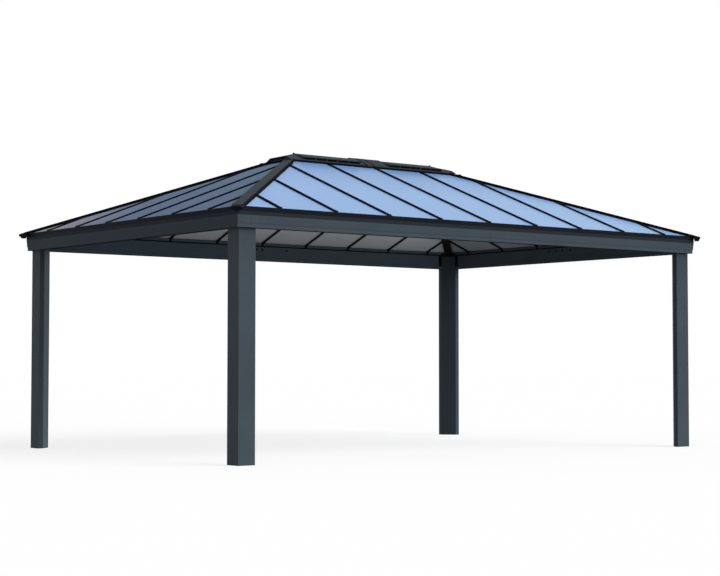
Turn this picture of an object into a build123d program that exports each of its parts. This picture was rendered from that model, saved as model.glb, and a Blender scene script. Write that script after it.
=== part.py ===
from build123d import *
import math
import os

# Hardtop gazebo: four corner posts, a ring of gutter beams, and a hip roof of
# translucent sheets between ribs, with a raised ridge vent. Millimetres, +Z up,
# X along the long side, origin on the floor at the middle of the plan.

# overall sizes
EAVE_LENGTH = 5930.0        # gutter lip to gutter lip, long way
EAVE_WIDTH = 4078.0         # gutter lip to gutter lip, short way
HEADROOM = 2091.0           # floor to the underside of the beams
ROOF_PITCH = 21.0           # degrees, the same on all four slopes

# posts and feet
POST_FACE = 178.0           # width of the two outer faces
POST_LIP = 52.0             # return at the far edge of each outer face
POST_WALL = 3.0
POST_SETBACK = 48.0         # gutter lip to post face
POST_ABOVE_BEAM = 155.0     # how far the post runs up behind the beams
FOOT_THICK = 8.0

# gutter beam section, from the bottom up
STRIP_HEIGHT = 30.0         # set-back strip along the bottom
STEP_HEIGHT = 12.0          # chamfer between strip and face
FACE_HEIGHT = 68.0
COVE_HEIGHT = 34.0
LIP_HEIGHT = 39.0
STRIP_SETBACK = 10.5        # gutter lip to strip
FACE_FOOT_SETBACK = 6.5     # gutter lip to the foot of the leaning face
FACE_SETBACK = 1.5          # gutter lip to the top of the face
COVE_SETBACK = 2.5          # gutter lip to the top of the cove
BEAM_DEPTH = 100.0          # gutter lip to the inner face
BEAM_WALL = 3.0
UPSTAND_WALL = 8.0          # inner wall that rises to the ribs
CORNER_LENGTH = 150.0       # leg of a beam corner piece
CORNER_WALL = 6.0
TRIM_DEPTH = 40.0           # gutter lip to the back of the eave trim
TRIM_WALL = 3.0
LIP_PROUD = 4.0             # top of the gutter lip over the sheets
SHEET_REBATE = 12.0         # gutter lip to the lower edge of the sheets

# roof sheets and ribs
RIB_SPACING = 625.0
RIB_WIDTH = 26.0
RIB_CAP = 13.0              # height of the rib over the sheets
RIB_WEB = 4.0
RIB_DEPTH = 16.0            # rib bar below the sheets
RIB_BAR_WIDTH = 24.0
RIB_CAP_START = 2.0         # gutter lip to the lower end of a rib cap
SHEET_THICK = 6.0
SHEET_PLAY = 0.5            # between a sheet and the web of a rib
SHEET_HIP_GAP = 3.0         # between a sheet and the hip line
SHORTEST_RIB = 200.0

# hip rafters, hip bars and caps, end caps
RAFTER_WIDTH = 88.0
RAFTER_SIDE = 42.0
RAFTER_WALL = 3.0
RAFTER_CLEAR = 2.0          # rafter foot to the back of the eave trim
BRACKET_PLATE = 8.0
BRACKET_TOP_WIDTH = 84.0
BRACKET_SADDLE = 70.0       # length of the seat under the rafter
HIP_BAR_WIDTH = 100.0
HIP_BAR_TOP = 16.5          # over the hip line of the sheets
HIP_BAR_WALL = 3.0
HIP_BAR_START = -5.0        # lower end, from the gutter lip corner
HIP_CAP_WIDTH = 96.0
HIP_CAP_EDGE = 1.5
HIP_CAP_CROWN = 4.5
HIP_CAP_FLAT = 24.0         # flat width along the crown
END_CAP_REACH = 70.0        # gutter lip corner to the tip
END_CAP_LEAN = 18.0         # tip to the foot of the tooth
END_CAP_TOP_WIDTH = 66.0
END_CAP_WIDTH = 120.0
END_CAP_SHOULDER = 17.0     # top down to the widest part
END_CAP_CHEEK = 52.0        # top down to the narrow foot of its section
END_CAP_FOOT_WIDTH = 96.0
END_CAP_FOOT = 34.0         # gutter lip down to the flat underside
TOOTH_WIDTH = 34.0
TOOTH_FOOT = 49.0           # gutter lip down to the foot of the tooth
TOOTH_BACK_LEAN = 3.0

# ridge vent
VENT_WIDTH = 392.0
VENT_WALL = 8.0
VENT_LID = 5.0
VENT_FASCIA = 15.5          # plain band above the ribs
VENT_MIDDLE = 416.0         # plain length between the two louvres
VENT_END = 202.0            # plain length at each end
LOUVRE_RISE = 30.0          # louvre eave over the plain band
LOUVRE_RIDGE_LIP = 6.0
MIDDLE_RIDGE_LIP = 14.0
LOUVRE_END_WALL = 4.0
LOUVRE_LEAN = 26.0          # foot of an end wall out from the end of the lid
SLOT_HEIGHT = 22.0
SLOT_BAR = 10.0
SLOTS_PER_SIDE = 5
HOOD_SIDE = 46.0            # vent corner to the cheek of the hood on a short end
HOOD_RISE = 26.0            # eave of the hood over the plain band
HOOD_SLOT_HEIGHT = 16.0
SLOTS_PER_HOOD = 3
CURB_WALL = 28.0
CURB_DROP = 60.0            # curb below the sheets
CURB_TOP_GAP = 10.0         # curb top below the plain band's top

HALF_X = EAVE_LENGTH / 2
HALF_Y = EAVE_WIDTH / 2
SLOPE = math.tan(math.radians(ROOF_PITCH))
ROOT2 = math.sqrt(2.0)
HIP_SLOPE = SLOPE / ROOT2

STRIP_TOP_Z = HEADROOM + STRIP_HEIGHT
FACE_BOTTOM_Z = STRIP_TOP_Z + STEP_HEIGHT
FACE_TOP_Z = FACE_BOTTOM_Z + FACE_HEIGHT
COVE_TOP_Z = FACE_TOP_Z + COVE_HEIGHT
EAVE_Z = COVE_TOP_Z + LIP_HEIGHT
SHEET_EDGE_Z = EAVE_Z - LIP_PROUD
POST_TOP_Z = HEADROOM + POST_ABOVE_BEAM

VENT_HALF_Y = VENT_WIDTH / 2
VENT_INWARD = HALF_Y - VENT_HALF_Y
VENT_HALF_X = HALF_X - VENT_INWARD
TALL = 2 * EAVE_Z           # taller than anything, for cutting prisms

SIDES = {
    "front": (0.0, HALF_X, HALF_Y),
    "right": (90.0, HALF_Y, HALF_X),
    "back": (180.0, HALF_X, HALF_Y),
    "left": (270.0, HALF_Y, HALF_X),
}
CORNERS = {
    "front_right": (45.0, HALF_X, -HALF_Y),
    "back_right": (135.0, HALF_X, HALF_Y),
    "back_left": (225.0, -HALF_X, HALF_Y),
    "front_left": (315.0, -HALF_X, -HALF_Y),
}


def upright(thickness):
    """Vertical height of a layer that is this thick square to the slope."""
    return thickness / math.cos(math.radians(ROOF_PITCH))


def polygon(points):
    return Face(Wire.make_polygon([Vector(*p) for p in points], close=True))


def prism(points, push):
    return Solid.extrude(polygon(points), Vector(*push))


def block(low, high):
    size = [b - a for a, b in zip(low, high)]
    middle = [(a + b) / 2 for a, b in zip(low, high)]
    return Pos(*middle) * Box(*size)


def on_side(shape, side):
    """Side frame: x along the eave, y inward from the gutter lip, z up."""
    turn, _, reach = SIDES[side]
    return Rot(0, 0, turn) * Pos(0, -reach, 0) * shape


def on_corner(shape, corner):
    """Hip frame: x across the hip, y inward along it from the lip corner."""
    turn, x, y = CORNERS[corner]
    return Pos(x, y, 0) * Rot(0, 0, turn) * shape


def wall_frame(shape):
    """From a frame along the two eaves of a corner to the hip frame."""
    return Rot(0, 0, 45) * shape


def write(node, shapes):
    solids = []
    for shape in shapes:
        solids.extend(shape.solids())
    shape = solids[0] if len(solids) == 1 else Compound(children=solids)
    export_step(shape, f"parts/{node}.step")


# ---- posts and feet, in the frame along the two eaves ----

def post_outline(inset):
    """Square outer corner, a lip at the end of each face, a flat inner face."""
    near = POST_SETBACK + inset
    far = POST_SETBACK + POST_FACE - inset
    lip = POST_SETBACK + POST_LIP - inset * (ROOT2 - 1)
    return [(near, near), (far, near), (far, lip), (lip, far), (near, far)]


def post_prism(inset, low, high):
    points = [(x, y, low) for x, y in post_outline(inset)]
    return prism(points, (0, 0, high - low))


def make_post():
    outer = post_prism(0, FOOT_THICK, POST_TOP_Z)
    inner = post_prism(POST_WALL, FOOT_THICK, POST_TOP_Z)
    return wall_frame(outer - inner)


def make_foot():
    return wall_frame(post_prism(0, 0, FOOT_THICK))


# ---- gutter beams, corner pieces and eave trims ----

def roof_z(inward):
    """Top of the sheets at a distance in from the gutter lip."""
    return SHEET_EDGE_Z + SLOPE * inward


def upstand_top():
    return roof_z(BEAM_DEPTH - UPSTAND_WALL) - upright(SHEET_THICK)


def beam_outline(inset):
    strip = STRIP_SETBACK + inset
    back = BEAM_DEPTH - inset
    return [
        (FACE_SETBACK + inset, FACE_TOP_Z - inset),
        (FACE_FOOT_SETBACK + inset, FACE_BOTTOM_Z),
        (strip, STRIP_TOP_Z),
        (strip, HEADROOM + inset),
        (back, HEADROOM + inset),
        (back, FACE_TOP_Z - inset),
    ]


def along(outline, start, end):
    """Prism of a (depth, height) outline along the eave, in the side frame."""
    points = [(start, y, z) for y, z in outline]
    return prism(points, (end - start, 0, 0))


def make_beam(half, start, end):
    """One length of gutter beam, notched where it passes a post."""
    beam = along(beam_outline(0), start, end) - along(beam_outline(BEAM_WALL), start, end)
    back = BEAM_DEPTH - UPSTAND_WALL
    beam += block((start, back, FACE_TOP_Z), (end, BEAM_DEPTH, upstand_top()))
    post_side = half - POST_SETBACK - POST_FACE
    for sign in (-1, 1):
        ends = sorted((sign * post_side, sign * half))
        beam -= block((ends[0], POST_SETBACK, 0), (ends[1], 2 * BEAM_DEPTH, TALL))
    return beam


def mitre(half):
    """Everything that belongs to one side, out to the hip planes."""
    deep = HALF_Y / 2
    points = [(-half, 0, 0), (half, 0, 0), (half - deep, deep, 0), (deep - half, deep, 0)]
    return prism(points, (0, 0, TALL))


def make_corner_piece():
    """Angle that closes the fascia round the post."""
    outer = [p for p in beam_outline(0) if p[0] < BEAM_DEPTH]
    outer += [(POST_SETBACK, HEADROOM), (POST_SETBACK, FACE_TOP_Z)]
    inner = [p for p in beam_outline(CORNER_WALL) if p[0] < BEAM_DEPTH - CORNER_WALL]
    through = POST_SETBACK + CORNER_WALL
    inner += [(through, HEADROOM + CORNER_WALL), (through, FACE_TOP_Z - CORNER_WALL)]
    leg = along(outer, 0, CORNER_LENGTH) - along(inner, 0, CORNER_LENGTH)
    half_plan = [(0, 0, 0), (CORNER_LENGTH, 0, 0), (CORNER_LENGTH, CORNER_LENGTH, 0)]
    leg = leg & prism(half_plan, (0, 0, TALL))
    other = mirror(leg, about=Plane(origin=(0, 0, 0), z_dir=(1, -1, 0)))
    return wall_frame(leg + other)


def trim_outline(inset):
    """Lip, cove and the ledge that carries the lower edge of the sheets."""
    under = upright(SHEET_THICK)
    back = TRIM_DEPTH - inset
    rebate = SHEET_REBATE - inset
    with BuildLine() as line:
        top_front = (inset, roof_z(inset) + LIP_PROUD - inset)
        lip_foot = (inset, COVE_TOP_Z + inset)
        cove_top = (inset + COVE_SETBACK, COVE_TOP_Z + inset)
        cove_foot = (inset + FACE_SETBACK, FACE_TOP_Z + inset)
        Polyline(top_front, lip_foot, cove_top)
        RadiusArc(cove_top, cove_foot, -3 * COVE_HEIGHT)
        Polyline(
            cove_foot,
            (back, FACE_TOP_Z + inset),
            (back, roof_z(back) - under - inset),
            (rebate, roof_z(rebate) - under - inset),
            (rebate, roof_z(rebate) + LIP_PROUD - inset),
            top_front,
        )
    return make_face(line.line)


def make_trim(half):
    standing = Plane(origin=(-half, 0, 0), x_dir=(0, 1, 0), z_dir=(1, 0, 0))
    outer = extrude(standing * trim_outline(0), amount=2 * half)
    inner = extrude(standing * trim_outline(TRIM_WALL), amount=2 * half)
    return (outer - inner) & mitre(half)


# ---- sheets and ribs, in the side frame ----

def slope_outline(half, left, right, start, hip_gap, stop):
    """Plan of a strip of roof between two lines, cut by the hips and the vent."""
    hip_reach = half - hip_gap * ROOT2

    def reach(a):
        return min(hip_reach - abs(a), stop)

    outer = hip_reach - start
    left = max(left, -outer)
    right = min(right, outer)
    kink = hip_reach - stop
    breaks = [a for a in (kink, -kink) if left < a < right]
    top = [(a, reach(a)) for a in [right, *breaks, left]]
    points = [(left, start), (right, start)]
    points += [p for p in top if p[1] > start + 1e-6]
    return points


def sheet(outline, low, high):
    """Layer of the roof between two heights over the top of the sheets."""
    points = [(x, y, roof_z(y) + low) for x, y in outline]
    return prism(points, (0, 0, high - low))


def rib_places(half, offset):
    count = int((half - SHORTEST_RIB) / RIB_SPACING - offset)
    places = [(n + offset) * RIB_SPACING for n in range(count + 1)]
    return sorted({-a for a in places} | set(places))


def make_ribs(half, offset):
    under = upright(SHEET_THICK)
    top = VENT_INWARD + VENT_WALL
    ribs = []
    for a in rib_places(half, offset):
        layers = (
            (RIB_WIDTH, RIB_CAP_START, HIP_BAR_WIDTH / 2, LIP_PROUD, upright(RIB_CAP)),
            (RIB_WIDTH, SHEET_REBATE, HIP_BAR_WIDTH / 2, 0, LIP_PROUD),
            (RIB_WEB, SHEET_REBATE, HIP_BAR_WIDTH / 2, -under, 0),
            (RIB_BAR_WIDTH, BEAM_DEPTH, RAFTER_WIDTH / 2, -under - upright(RIB_DEPTH), -under),
        )
        rib = None
        for width, start, hip_gap, low, high in layers:
            plan = slope_outline(half, a - width / 2, a + width / 2, start, hip_gap, top)
            layer = sheet(plan, low, high)
            rib = layer if rib is None else rib + layer
        ribs.append(rib)
    return ribs


def make_sheets(half, offset):
    edge = RIB_WEB / 2 + SHEET_PLAY
    lines = [-half, *rib_places(half, offset), half]
    top = VENT_INWARD + VENT_WALL
    sheets = []
    for left, right in zip(lines, lines[1:]):
        plan = slope_outline(half, left + edge, right - edge, SHEET_REBATE, SHEET_HIP_GAP, top)
        sheets.append(sheet(plan, -upright(SHEET_THICK), 0))
    return sheets


# ---- hips, in the hip frame ----

def hip_prism(outline, start, end):
    """Prism of an (across, over the hip line) outline, run up the hip."""
    points = [(x, start, SHEET_EDGE_Z + HIP_SLOPE * start + z) for x, z in outline]
    length = end - start
    return prism(points, (0, length, HIP_SLOPE * length))


def vent_prism(inset, low=0.0):
    """Plan of the vent in one hip frame, for the notch at the top of a hip."""
    x = VENT_HALF_X - inset
    y = VENT_HALF_Y - inset
    plan = block((-x, -y, low), (x, y, TALL))
    turn, cx, cy = CORNERS["front_right"]
    return Rot(0, 0, -turn) * Pos(-cx, -cy, 0) * plan


def rafter_outline(inset):
    half = RAFTER_WIDTH / 2 - inset
    crown = -upright(SHEET_THICK) - inset
    shoulder = crown - HIP_SLOPE * half
    bottom = rafter_bottom() + inset
    return [(0, crown), (half, shoulder), (half, bottom), (-half, bottom), (-half, shoulder)]


def rafter_bottom():
    return -upright(SHEET_THICK) - HIP_SLOPE * RAFTER_WIDTH / 2 - RAFTER_SIDE


def make_rafter():
    behind_trim = TRIM_DEPTH * ROOT2 + RAFTER_WIDTH / 2 + RAFTER_CLEAR
    on_plate = (POST_TOP_Z + BRACKET_PLATE - SHEET_EDGE_Z - rafter_bottom()) / HIP_SLOPE
    start = max(behind_trim, on_plate)
    end = (VENT_INWARD + VENT_WALL) * ROOT2 + RAFTER_WIDTH / 2
    bar = hip_prism(rafter_outline(0), start, end)
    bar -= hip_prism(rafter_outline(RAFTER_WALL), start, end)
    return bar - vent_prism(VENT_WALL)


def make_bracket():
    """Plate on the post with a flared seat for the rafter."""
    plate_top = POST_TOP_Z + BRACKET_PLATE
    plate = wall_frame(post_prism(0, POST_TOP_Z, plate_top))
    inner_face = (2 * POST_SETBACK + POST_FACE + POST_LIP) / ROOT2
    under = SHEET_EDGE_Z + rafter_bottom() + HIP_SLOPE * inner_face
    foot = (POST_FACE - POST_LIP) / ROOT2
    neck = BRACKET_TOP_WIDTH / 2
    flare = [(-foot, plate_top), (foot, plate_top), (neck, under), (-neck, under)]
    seat = prism([(x, inner_face, z) for x, z in flare], (0, -BRACKET_SADDLE, 0))
    above = SHEET_EDGE_Z + rafter_bottom()
    start = inner_face - BRACKET_SADDLE
    ends = [(y, above + HIP_SLOPE * y) for y in (start, inner_face)]
    clear = [(-foot, ends[0][0], ends[0][1]), (-foot, ends[1][0], ends[1][1])]
    clear += [(-foot, ends[1][0], TALL), (-foot, ends[0][0], TALL)]
    return plate + (seat - prism(clear, (2 * foot, 0, 0)))


def hip_bar_outline(inset):
    half = HIP_BAR_WIDTH / 2 - inset
    top = HIP_BAR_TOP - inset
    seat = -HIP_SLOPE * half + inset
    return [(-half, top), (half, top), (half, seat), (0, inset), (-half, seat)]


def make_hip_bar():
    """Hollow bar over the joint of two slopes, notched round the gutter lips."""
    end = VENT_INWARD * ROOT2 + HIP_BAR_WIDTH / 2
    bar = hip_prism(hip_bar_outline(0), HIP_BAR_START, end)
    bar -= hip_prism(hip_bar_outline(HIP_BAR_WALL), HIP_BAR_START, end)
    low = SHEET_EDGE_Z - HIP_BAR_WIDTH
    outline = [(0, low), (SHEET_REBATE, low)]
    outline += [(y, roof_z(y) + LIP_PROUD) for y in (SHEET_REBATE, 0)]
    lip = along(outline, 0, 2 * HIP_BAR_WIDTH)
    for side in (lip, mirror(lip, about=Plane(origin=(0, 0, 0), z_dir=(1, -1, 0)))):
        bar -= wall_frame(side)
    return bar - vent_prism(VENT_WALL) - vent_prism(0, SEAT_Z)


def make_hip_cap():
    half = HIP_CAP_WIDTH / 2
    flat = HIP_CAP_FLAT / 2
    edge = HIP_BAR_TOP + HIP_CAP_EDGE
    crown = HIP_BAR_TOP + HIP_CAP_CROWN
    outline = [(half, HIP_BAR_TOP), (half, edge), (flat, crown)]
    outline += [(-x, z) for x, z in reversed(outline)]
    end = VENT_INWARD * ROOT2 + half
    cap = hip_prism(outline, HIP_BAR_START, end)
    return cap - vent_prism(VENT_WALL) - vent_prism(0, SEAT_Z)


def make_end_cap():
    """Moulded stop at the foot of a hip, with a tooth in front of the lip."""
    top = HIP_BAR_TOP + HIP_CAP_EDGE
    foot = EAVE_Z - TOOTH_FOOT
    ends = (-END_CAP_REACH, HIP_BAR_START)
    side = [(y, SHEET_EDGE_Z + HIP_SLOPE * y + top) for y in ends]
    side += [(HIP_BAR_START - TOOTH_BACK_LEAN, foot), (END_CAP_LEAN - END_CAP_REACH, foot)]

    def slab(width):
        return prism([(-width / 2, y, z) for y, z in side], (width, 0, 0))

    section = [(END_CAP_TOP_WIDTH / 2, top), (END_CAP_WIDTH / 2, top - END_CAP_SHOULDER)]
    section.append((END_CAP_FOOT_WIDTH / 2, top - END_CAP_CHEEK))
    section += [(-x, z) for x, z in reversed(section)]
    body = slab(END_CAP_WIDTH) & hip_prism(section, *ends)
    reach = 2 * END_CAP_REACH
    body -= block((-reach, -reach, 0), (reach, reach, EAVE_Z - END_CAP_FOOT))
    return body + slab(TOOTH_WIDTH)


# ---- ridge vent ----

SEAT_Z = roof_z(VENT_INWARD + VENT_WALL) + upright(RIB_CAP)
FASCIA_TOP_Z = SEAT_Z + VENT_FASCIA
PLAIN_RIDGE_Z = FASCIA_TOP_Z + SLOPE * VENT_HALF_Y
LOUVRE_EAVE_Z = FASCIA_TOP_Z + LOUVRE_RISE
LOUVRE_RIDGE_Z = PLAIN_RIDGE_Z + LOUVRE_RIDGE_LIP
MIDDLE_RIDGE_Z = PLAIN_RIDGE_Z + MIDDLE_RIDGE_LIP
LOUVRE_START = VENT_MIDDLE / 2
LOUVRE_END = VENT_HALF_X - VENT_END
RIDGE_END = VENT_HALF_X - VENT_HALF_Y
HOOD_HALF = VENT_HALF_Y - HOOD_SIDE


def gable(start, end, half, eave, ridge):
    outline = [(-half, SEAT_Z), (-half, eave), (0, ridge), (half, eave), (half, SEAT_Z)]
    points = [(start, y, z) for y, z in outline]
    return prism(points, (end - start, 0, 0))


def shell_gable(start, end, eave, ridge):
    """Inside of a gable-shaped cover, one lid below its outside."""
    pitch = (ridge - eave) / VENT_HALF_Y
    half = VENT_HALF_Y - VENT_WALL
    return gable(start, end, half, eave + pitch * VENT_WALL - VENT_LID, ridge - VENT_LID)


def hip_end(start, inset, rise=0.0):
    """Prism that slopes the outer end of the vent down to its short side."""
    tip = VENT_HALF_X - inset
    drop = VENT_LID if inset else 0
    pitch = SLOPE - rise / VENT_HALF_Y
    eave = FASCIA_TOP_Z + rise + pitch * inset - drop
    ridge = PLAIN_RIDGE_Z - drop
    outline = [(start, SEAT_Z), (tip, SEAT_Z), (tip, eave), (RIDGE_END, ridge), (start, ridge)]
    points = [(x, -VENT_HALF_Y, z) for x, z in outline]
    return prism(points, (0, VENT_WIDTH, 0))


def make_hood(inset):
    """Raised triangle on the short end, from a point at the ridge."""
    base = VENT_HALF_X
    half = HOOD_HALF - inset
    plan = [(RIDGE_END + 2 * inset, 0, 0), (base, -half, 0), (base, half, 0)]
    return prism(plan, (0, 0, TALL)) & hip_end(LOUVRE_END, inset, HOOD_RISE)


def hood_slots():
    """Row of slots under the eave of the hood."""
    step = 2 * (HOOD_HALF - VENT_WALL) / SLOTS_PER_HOOD
    wide = step - SLOT_BAR
    slots = []
    for n in range(SLOTS_PER_HOOD):
        middle = (n - (SLOTS_PER_HOOD - 1) / 2) * step
        low = (VENT_HALF_X - 2 * VENT_WALL, middle - wide / 2, FASCIA_TOP_Z)
        high = (VENT_HALF_X + VENT_WALL, middle + wide / 2, FASCIA_TOP_Z + HOOD_SLOT_HEIGHT)
        slots.append(block(low, high))
    return slots


def make_vent_end():
    """Right-hand end; the left one is the same piece turned round."""
    start = LOUVRE_END
    outer = gable(start, VENT_HALF_X, VENT_HALF_Y, FASCIA_TOP_Z, PLAIN_RIDGE_Z)
    outer = (outer & hip_end(start, 0)) + make_hood(0)
    inner = shell_gable(start, VENT_HALF_X, FASCIA_TOP_Z, PLAIN_RIDGE_Z)
    inner = inner & hip_end(start, VENT_WALL)
    end = outer - inner - make_hood(VENT_WALL)
    for slot in hood_slots():
        end -= slot
    return end


def make_vent_middle():
    half = VENT_MIDDLE / 2
    outer = gable(-half, half, VENT_HALF_Y, FASCIA_TOP_Z, MIDDLE_RIDGE_Z)
    return outer - shell_gable(-half, half, FASCIA_TOP_Z, MIDDLE_RIDGE_Z)


def past_louvre_ends(inset):
    """Everything past the leaning end walls of the right-hand louvre."""
    wide = VENT_HALF_Y + 2 * VENT_WALL
    low = SEAT_Z
    high = LOUVRE_RIDGE_Z + VENT_WALL
    pitch = (LOUVRE_RIDGE_Z - LOUVRE_EAVE_Z) / VENT_HALF_Y
    wedges = []
    for lid_end, way in ((LOUVRE_START + inset, -1), (LOUVRE_END - inset, 1)):
        for side in (-1, 1):
            face = []
            for y, z in ((0, low), (wide, low), (wide, high), (0, high)):
                below_lid = LOUVRE_RIDGE_Z - pitch * y - z
                x = lid_end + way * LOUVRE_LEAN * below_lid / LOUVRE_RISE
                face.append((x, side * y, z))
            wedges.append(prism(face, (way * VENT_END, 0, 0)))
    return wedges


def make_louvre():
    """Right-hand cover with a row of slots along each long side."""
    foot_start = LOUVRE_START - LOUVRE_LEAN
    foot_end = LOUVRE_END + LOUVRE_LEAN
    cover = gable(foot_start, foot_end, VENT_HALF_Y, LOUVRE_EAVE_Z, LOUVRE_RIDGE_Z)
    inside = shell_gable(foot_start, foot_end, LOUVRE_EAVE_Z, LOUVRE_RIDGE_Z)
    for wedge in past_louvre_ends(0):
        cover -= wedge
    for wedge in past_louvre_ends(LOUVRE_END_WALL):
        inside -= wedge
    cover -= inside
    cover -= gable(foot_start, LOUVRE_START, VENT_HALF_Y, FASCIA_TOP_Z, MIDDLE_RIDGE_Z)
    cover -= gable(LOUVRE_END, foot_end, VENT_HALF_Y, FASCIA_TOP_Z, PLAIN_RIDGE_Z)
    step = (LOUVRE_END - LOUVRE_START) / SLOTS_PER_SIDE
    deep = VENT_HALF_Y + VENT_WALL
    slots = block((foot_start, -deep, FASCIA_TOP_Z), (foot_end, deep, FASCIA_TOP_Z + SLOT_HEIGHT))
    for wedge in past_louvre_ends(LOUVRE_END_WALL):
        slots -= wedge
    for n in range(1, SLOTS_PER_SIDE):
        bar = LOUVRE_START + n * step
        slots -= block((bar - SLOT_BAR / 2, -deep, 0), (bar + SLOT_BAR / 2, deep, TALL))
    return cover - slots


def make_curb():
    """Four bars round the opening under the vent."""
    low = roof_z(VENT_INWARD) - CURB_DROP
    high = FASCIA_TOP_Z - CURB_TOP_GAP
    x = VENT_HALF_X - VENT_WALL
    y = VENT_HALF_Y - VENT_WALL
    inner_x = x - CURB_WALL
    inner_y = y - CURB_WALL
    long_bar = block((-x, inner_y, low), (x, y, high))
    short_bar = block((inner_x, -inner_y, low), (x, inner_y, high))
    half_turn = Rot(0, 0, 180)
    return [long_bar, half_turn * long_bar, short_bar, half_turn * short_bar]


def main():
    os.makedirs("parts", exist_ok=True)

    corner_makers = {
        "post": make_post,
        "beam_corner": make_corner_piece,
        "hip_rafter": make_rafter,
        "hip_cap": make_hip_cap,
    }
    for kind, make in corner_makers.items():
        piece = make()
        for corner in CORNERS:
            write(f"{kind}_{corner}", [on_corner(piece, corner)])
    shared_makers = {
        "foot_plates": make_foot,
        "post_brackets": make_bracket,
        "hip_bars": make_hip_bar,
        "hip_end_caps": make_end_cap,
    }
    for node, make in shared_makers.items():
        piece = make()
        write(node, [on_corner(piece, corner) for corner in CORNERS])

    beam_end = CORNER_LENGTH
    long_end = HALF_X - beam_end
    short_end = HALF_Y - beam_end
    for side in ("front", "back"):
        halves = {"west": (-long_end, 0), "east": (0, long_end)}
        for half_name, (start, end) in halves.items():
            if side == "back":
                start, end = -end, -start
            beam = make_beam(HALF_X, start, end)
            write(f"gutter_beam_{side}_{half_name}", [on_side(beam, side)])
    for side in ("left", "right"):
        beam = make_beam(HALF_Y, -short_end, short_end)
        write(f"gutter_beam_{side}", [on_side(beam, side)])

    for side, (_, half, _) in SIDES.items():
        offset = 0.0 if side in ("front", "back") else 0.5
        write(f"eave_trim_{side}", [on_side(make_trim(half), side)])
        write(f"ribs_{side}", [on_side(rib, side) for rib in make_ribs(half, offset)])
        write(f"roof_sheets_{side}", [on_side(s, side) for s in make_sheets(half, offset)])

    write("vent_curb", make_curb())
    write("vent_middle", [make_vent_middle()])
    end_piece = make_vent_end()
    louvre = make_louvre()
    write("vent_end_right", [end_piece])
    write("vent_end_left", [Rot(0, 0, 180) * end_piece])
    write("vent_louvre_right", [louvre])
    write("vent_louvre_left", [Rot(0, 0, 180) * louvre])


main()
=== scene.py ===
import bpy
import math
from mathutils import Euler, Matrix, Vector


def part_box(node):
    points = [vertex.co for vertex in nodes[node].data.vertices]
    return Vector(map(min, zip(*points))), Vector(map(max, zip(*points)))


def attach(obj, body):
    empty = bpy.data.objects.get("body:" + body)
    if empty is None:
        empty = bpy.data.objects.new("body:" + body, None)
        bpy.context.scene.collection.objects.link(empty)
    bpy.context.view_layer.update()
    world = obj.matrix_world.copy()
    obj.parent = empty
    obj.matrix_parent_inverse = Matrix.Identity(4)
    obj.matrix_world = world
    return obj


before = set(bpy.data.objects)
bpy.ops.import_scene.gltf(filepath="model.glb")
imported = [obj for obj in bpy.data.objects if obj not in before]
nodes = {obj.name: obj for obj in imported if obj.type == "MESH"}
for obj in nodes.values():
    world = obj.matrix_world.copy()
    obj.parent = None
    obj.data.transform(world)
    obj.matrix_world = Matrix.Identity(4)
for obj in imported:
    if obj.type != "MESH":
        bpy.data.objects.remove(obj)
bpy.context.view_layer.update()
print("frame loaded,", len(nodes), "nodes")


def clearSelection():
    if bpy.context.object and bpy.context.object.mode != "OBJECT":
        bpy.ops.object.mode_set(mode="OBJECT")
    bpy.ops.object.select_all(action="DESELECT")


clearSelection()

# camera at standing height off the front left corner

viewpoint = {
    "place": (-11.091, -14.387, 0.894),
    "tiltDegrees": 92.56,
    "turnDegrees": -37.51,
    "rollDegrees": -0.03,
    "lensMillimetres": 84.54,
}


def addCamera():
    turns = [math.radians(viewpoint[k]) for k in ("tiltDegrees", "rollDegrees", "turnDegrees")]
    bpy.ops.object.camera_add(location=viewpoint["place"], rotation=turns)
    camera = bpy.context.object
    camera.name = "viewCamera"
    camera.data.lens = viewpoint["lensMillimetres"]
    camera.data.sensor_width = 36
    camera.data.clip_end = 500
    bpy.context.scene.camera = camera


addCamera()
print("camera set")

# plain studio: pale floor, one soft sun, white behind everything

studio = {
    "worldGlow": 0.38,         # light from all round, for diffuse rays
    "floorSize": 400.0,
    "floorBounce": 0.58,       # floor grey that lights the object
    "floorGrey": 0.3,          # floor grey under the shadow that is looked at
    "floorLift": 0.75,
    "sunFrom": (0.42, -0.68, 0.50),
    "sunPower": 2.3,
    "sunSpreadDegrees": 50.0,
    "fillFrom": (0.15, -0.97, 0.10),
    "fillPower": 0.9,
}


def seenBySight(tree):
    path = tree.nodes.new("ShaderNodeLightPath")
    either = path.outputs["Is Camera Ray"]
    for ray in ("Is Glossy Ray", "Is Transmission Ray"):
        larger = tree.nodes.new("ShaderNodeMath")
        larger.operation = "MAXIMUM"
        tree.links.new(either, larger.inputs[0])
        tree.links.new(path.outputs[ray], larger.inputs[1])
        either = larger.outputs[0]
    return either


def addWorld():
    world = bpy.data.worlds.new("studioWorld")
    bpy.context.scene.world = world
    world.use_nodes = True
    tree = world.node_tree
    tree.nodes.clear()
    mix = tree.nodes.new("ShaderNodeMixShader")
    out = tree.nodes.new("ShaderNodeOutputWorld")
    tree.links.new(seenBySight(tree), mix.inputs[0])
    for slot, strength in ((1, studio["worldGlow"]), (2, 1.0)):
        glow = tree.nodes.new("ShaderNodeBackground")
        glow.inputs["Color"].default_value = (1, 1, 1, 1)
        glow.inputs["Strength"].default_value = strength
        tree.links.new(glow.outputs[0], mix.inputs[slot])
    tree.links.new(mix.outputs[0], out.inputs["Surface"])


def diffuseGrey(tree, grey):
    plain = tree.nodes.new("ShaderNodeBsdfDiffuse")
    plain.inputs["Color"].default_value = (grey, grey, grey, 1)
    return plain


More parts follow.
